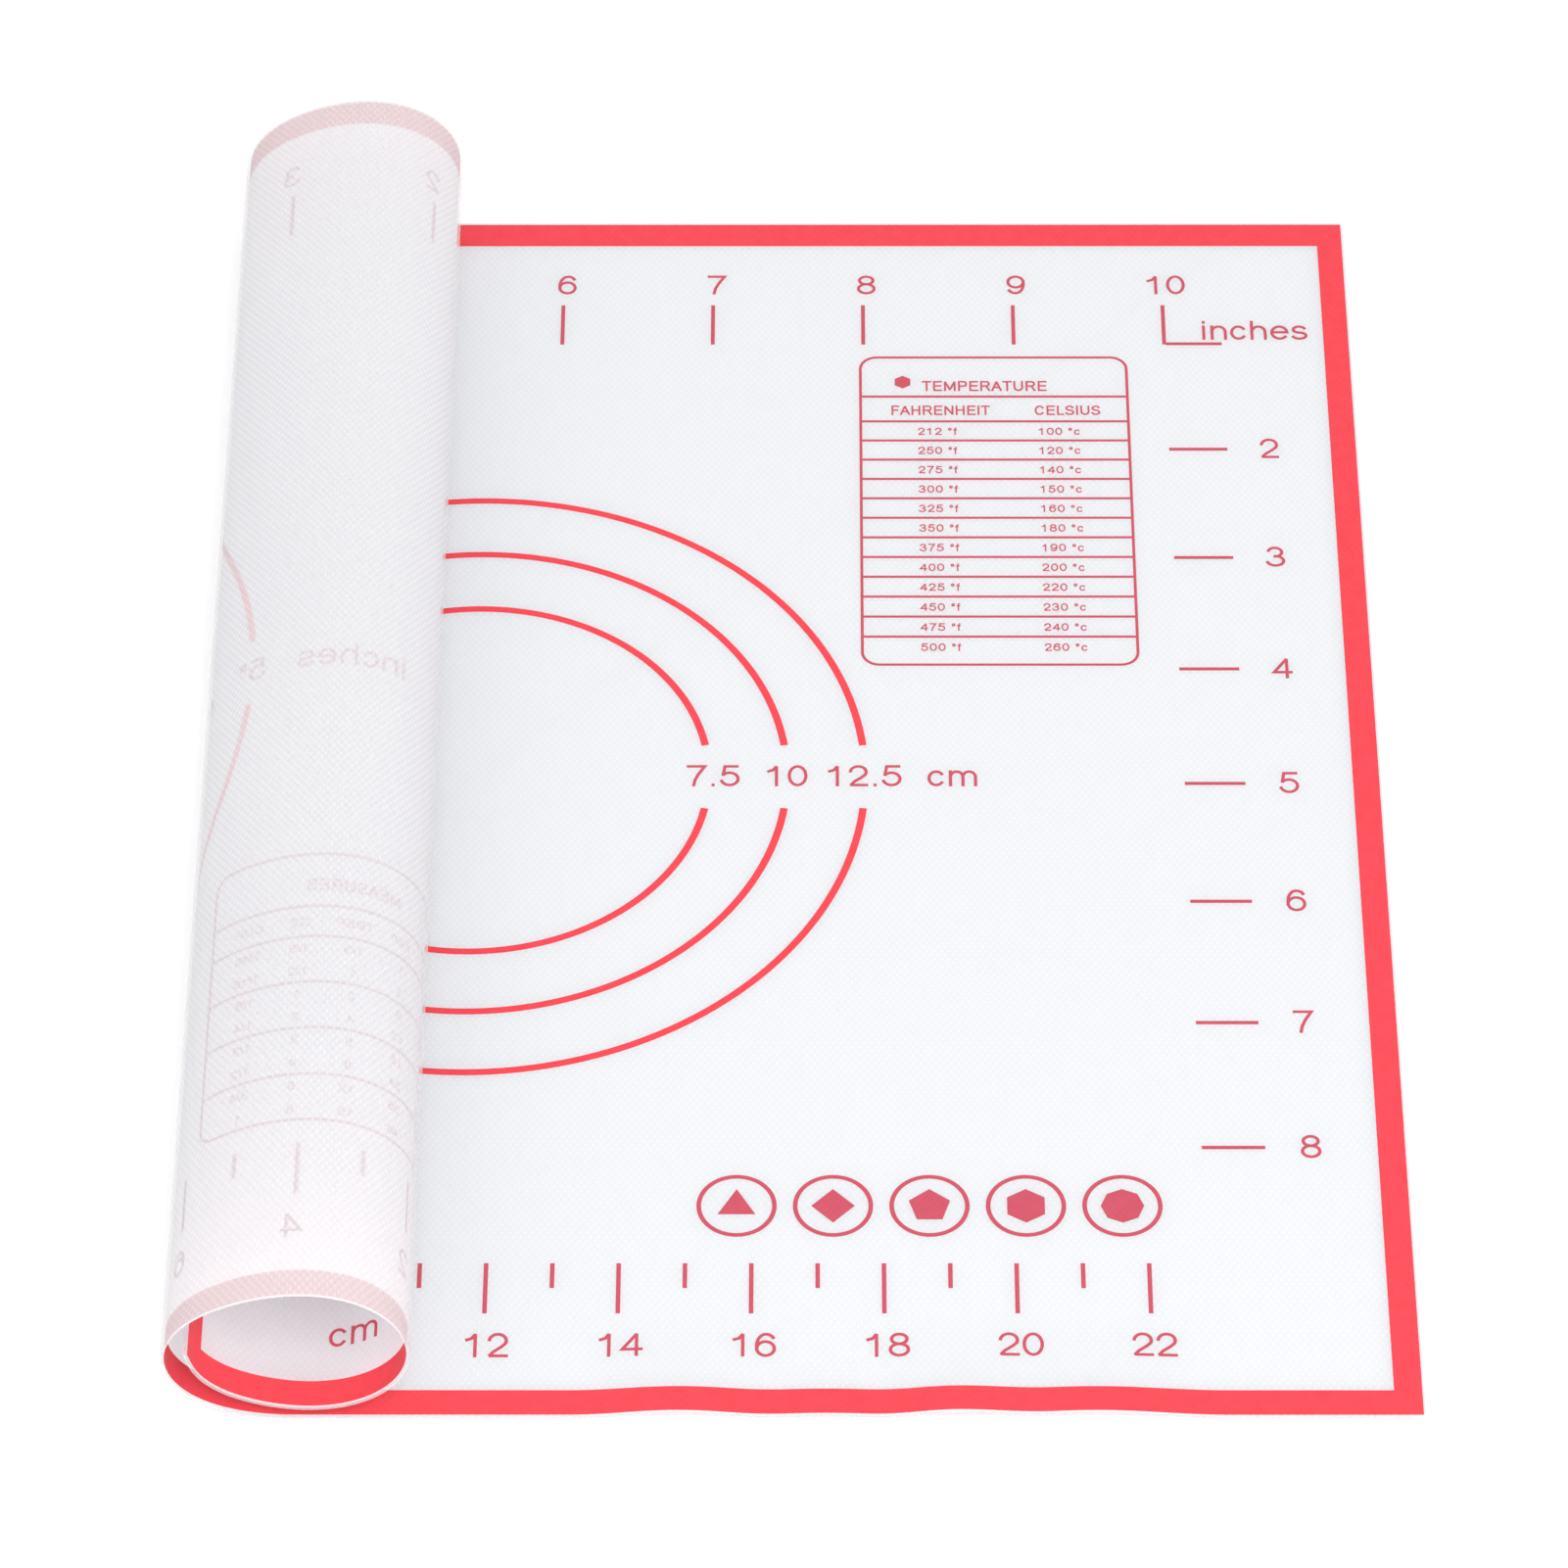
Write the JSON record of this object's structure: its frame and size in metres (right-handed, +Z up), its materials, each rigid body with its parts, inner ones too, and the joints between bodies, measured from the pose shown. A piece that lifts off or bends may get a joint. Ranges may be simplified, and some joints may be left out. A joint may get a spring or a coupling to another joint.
{
  "type": "baking mat",
  "caption": "Thin rectangular silicone baking mat with printed rulers, rings and a temperature table, flat with its left part rolled into a tube that unrolls.",
  "frame": {"origin": "middle of the mat's underside when it is flat, which is the rest face's point", "axes": "+X to the right along the flat part, away from the roll; +Y to the back, along the roll; +Z up, out of the printed face"},
  "size_m": [0.1871, 0.26, 0.0293],
  "materials": {
    "silicone_coat": "translucent satin",
    "glass_cloth": "fine plain weave",
    "silicone_ink": "satin"
  },
  "bodies": {
    "flat_part": {"lower_coat": "silicone_coat", "glass_cloth": "glass_cloth", "upper_coat": "silicone_coat", "border_print": "silicone_ink", "back_ruler_print": "silicone_ink", "side_ruler_print": "silicone_ink", "cm_ruler_print": "silicone_ink", "ring_print": "silicone_ink", "temperature_table_print": "silicone_ink", "mark_print": "silicone_ink"},
    "strip_01": {"roll_strip_01": "silicone_coat", "roll_print_01": "silicone_ink"},
    "strip_02": {"roll_strip_02": "silicone_coat", "roll_print_02": "silicone_ink"},
    "strip_03": {"roll_strip_03": "silicone_coat", "roll_print_03": "silicone_ink"},
    "strip_04": {"roll_strip_04": "silicone_coat", "roll_print_04": "silicone_ink"},
    "strip_05": {"roll_strip_05": "silicone_coat", "roll_print_05": "silicone_ink"},
    "strip_06": {"roll_strip_06": "silicone_coat", "roll_print_06": "silicone_ink"},
    "strip_07": {"roll_strip_07": "silicone_coat", "roll_print_07": "silicone_ink"},
    "strip_08": {"roll_strip_08": "silicone_coat", "roll_print_08": "silicone_ink"},
    "strip_09": {"roll_strip_09": "silicone_coat", "roll_print_09": "silicone_ink"},
    "strip_10": {"roll_strip_10": "silicone_coat", "roll_print_10": "silicone_ink"},
    "strip_11": {"roll_strip_11": "silicone_coat", "roll_print_11": "silicone_ink"},
    "strip_12": {"roll_strip_12": "silicone_coat", "roll_print_12": "silicone_ink"},
    "strip_13": {"roll_strip_13": "silicone_coat", "roll_print_13": "silicone_ink"},
    "strip_14": {"roll_strip_14": "silicone_coat", "roll_print_14": "silicone_ink"},
    "strip_15": {"roll_strip_15": "silicone_coat", "roll_print_15": "silicone_ink"},
    "strip_16": {"roll_strip_16": "silicone_coat", "roll_print_16": "silicone_ink"},
    "strip_17": {"roll_strip_17": "silicone_coat", "roll_print_17": "silicone_ink"},
    "strip_18": {"roll_strip_18": "silicone_coat", "roll_print_18": "silicone_ink"},
    "strip_19": {"roll_strip_19": "silicone_coat", "roll_print_19": "silicone_ink"},
    "strip_20": {"roll_strip_20": "silicone_coat", "roll_print_20": "silicone_ink"},
    "strip_21": {"roll_strip_21": "silicone_coat", "roll_print_21": "silicone_ink"},
    "strip_22": {"roll_strip_22": "silicone_coat", "roll_print_22": "silicone_ink"},
    "strip_23": {"roll_strip_23": "silicone_coat", "roll_print_23": "silicone_ink"},
    "strip_24": {"roll_strip_24": "silicone_coat", "roll_print_24": "silicone_ink"}
  },
  "joints": [
    {"name": "hinge_01", "type": "hinge", "parent": "flat_part", "child": "strip_01", "pos_m": [-0.0254, 0, 0.0005], "axis": [0, -1, 0], "range_deg": [0, 9.12]},
    {"name": "hinge_02", "type": "hinge", "parent": "strip_01", "child": "strip_02", "pos_m": [-0.03032, 0, 0.00129], "axis": [0, -1, 0], "range_deg": [0, 11.46]},
    {"name": "hinge_03", "type": "hinge", "parent": "strip_02", "child": "strip_03", "pos_m": [-0.03499, 0, 0.00304], "axis": [0, -1, 0], "range_deg": [0, 17.13]},
    {"name": "hinge_04", "type": "hinge", "parent": "strip_03", "child": "strip_04", "pos_m": [-0.03893, 0, 0.00608], "axis": [0, -1, 0], "range_deg": [0, 23.26]},
    {"name": "hinge_05", "type": "hinge", "parent": "strip_04", "child": "strip_05", "pos_m": [-0.04136, 0, 0.01044], "axis": [0, -1, 0], "range_deg": [0, 26.73]},
    {"name": "hinge_06", "type": "hinge", "parent": "strip_05", "child": "strip_06", "pos_m": [-0.04156, 0, 0.01541], "axis": [0, -1, 0], "range_deg": [0, 25.83]},
    {"name": "hinge_07", "type": "hinge", "parent": "strip_06", "child": "strip_07", "pos_m": [-0.03958, 0, 0.01999], "axis": [0, -1, 0], "range_deg": [0, 20.97]},
    {"name": "hinge_08", "type": "hinge", "parent": "strip_07", "child": "strip_08", "pos_m": [-0.03609, 0, 0.02355], "axis": [0, -1, 0], "range_deg": [0, 14.63]},
    {"name": "hinge_09", "type": "hinge", "parent": "strip_08", "child": "strip_09", "pos_m": [-0.03182, 0, 0.02611], "axis": [0, -1, 0], "range_deg": [0, 10.23]},
    {"name": "hinge_10", "type": "hinge", "parent": "strip_09", "child": "strip_10", "pos_m": [-0.02716, 0, 0.02788], "axis": [0, -1, 0], "range_deg": [0, 10.69]},
    {"name": "hinge_11", "type": "hinge", "parent": "strip_10", "child": "strip_11", "pos_m": [-0.02226, 0, 0.02876], "axis": [0, -1, 0], "range_deg": [0, 13.05]},
    {"name": "hinge_12", "type": "hinge", "parent": "strip_11", "child": "strip_12", "pos_m": [-0.01728, 0, 0.02851], "axis": [0, -1, 0], "range_deg": [0, 16]},
    {"name": "hinge_13", "type": "hinge", "parent": "strip_12", "child": "strip_13", "pos_m": [-0.01256, 0, 0.02689], "axis": [0, -1, 0], "range_deg": [0, 19.03]},
    {"name": "hinge_14", "type": "hinge", "parent": "strip_13", "child": "strip_14", "pos_m": [-0.00863, 0, 0.02383], "axis": [0, -1, 0], "range_deg": [0, 21.61]},
    {"name": "hinge_15", "type": "hinge", "parent": "strip_14", "child": "strip_15", "pos_m": [-0.0061, 0, 0.01954], "axis": [0, -1, 0], "range_deg": [0, 23.27]},
    {"name": "hinge_16", "type": "hinge", "parent": "strip_15", "child": "strip_16", "pos_m": [-0.00547, 0, 0.0146], "axis": [0, -1, 0], "range_deg": [0, 23.74]},
    {"name": "hinge_17", "type": "hinge", "parent": "strip_16", "child": "strip_17", "pos_m": [-0.00689, 0, 0.00982], "axis": [0, -1, 0], "range_deg": [0, 22.92]},
    {"name": "hinge_18", "type": "hinge", "parent": "strip_17", "child": "strip_18", "pos_m": [-0.01005, 0, 0.00596], "axis": [0, -1, 0], "range_deg": [0, 20.96]},
    {"name": "hinge_19", "type": "hinge", "parent": "strip_18", "child": "strip_19", "pos_m": [-0.01437, 0, 0.00349], "axis": [0, -1, 0], "range_deg": [0, 18.21]},
    {"name": "hinge_20", "type": "hinge", "parent": "strip_19", "child": "strip_20", "pos_m": [-0.01926, 0, 0.0025], "axis": [0, -1, 0], "range_deg": [0, 15.14]},
    {"name": "hinge_21", "type": "hinge", "parent": "strip_20", "child": "strip_21", "pos_m": [-0.02423, 0, 0.00281], "axis": [0, -1, 0], "range_deg": [0, 12.31]},
    {"name": "hinge_22", "type": "hinge", "parent": "strip_21", "child": "strip_22", "pos_m": [-0.02902, 0, 0.00418], "axis": [0, -1, 0], "range_deg": [0, 12.05]},
    {"name": "hinge_23", "type": "hinge", "parent": "strip_22", "child": "strip_23", "pos_m": [-0.03343, 0, 0.00651], "axis": [0, -1, 0], "range_deg": [0, 19.58]},
    {"name": "hinge_24", "type": "hinge", "parent": "strip_23", "child": "strip_24", "pos_m": [-0.03679, 0, 0.01019], "axis": [0, -1, 0], "range_deg": [0, 27.53]}
  ],
  "couplings": [
    {"joint": "hinge_01", "follows": "hinge_05", "ratio": 0.34046},
    {"joint": "hinge_02", "follows": "hinge_05", "ratio": 0.4281},
    {"joint": "hinge_03", "follows": "hinge_05", "ratio": 0.64025},
    {"joint": "hinge_04", "follows": "hinge_05", "ratio": 0.86955},
    {"joint": "hinge_06", "follows": "hinge_05", "ratio": 0.96559},
    {"joint": "hinge_07", "follows": "hinge_05", "ratio": 0.78374},
    {"joint": "hinge_08", "follows": "hinge_05", "ratio": 0.54645},
    {"joint": "hinge_09", "follows": "hinge_05", "ratio": 0.38194},
    {"joint": "hinge_10", "follows": "hinge_05", "ratio": 0.3991},
    {"joint": "hinge_11", "follows": "hinge_05", "ratio": 0.48738},
    {"joint": "hinge_12", "follows": "hinge_05", "ratio": 0.59792},
    {"joint": "hinge_13", "follows": "hinge_05", "ratio": 0.7113},
    {"joint": "hinge_14", "follows": "hinge_05", "ratio": 0.80761},
    {"joint": "hinge_15", "follows": "hinge_05", "ratio": 0.86992},
    {"joint": "hinge_16", "follows": "hinge_05", "ratio": 0.88728},
    {"joint": "hinge_17", "follows": "hinge_05", "ratio": 0.85666},
    {"joint": "hinge_18", "follows": "hinge_05", "ratio": 0.78343},
    {"joint": "hinge_19", "follows": "hinge_05", "ratio": 0.68045},
    {"joint": "hinge_20", "follows": "hinge_05", "ratio": 0.56581},
    {"joint": "hinge_21", "follows": "hinge_05", "ratio": 0.45965},
    {"joint": "hinge_22", "follows": "hinge_05", "ratio": 0.44987},
    {"joint": "hinge_23", "follows": "hinge_05", "ratio": 0.7319},
    {"joint": "hinge_24", "follows": "hinge_05", "ratio": 1.0291}
  ]
}
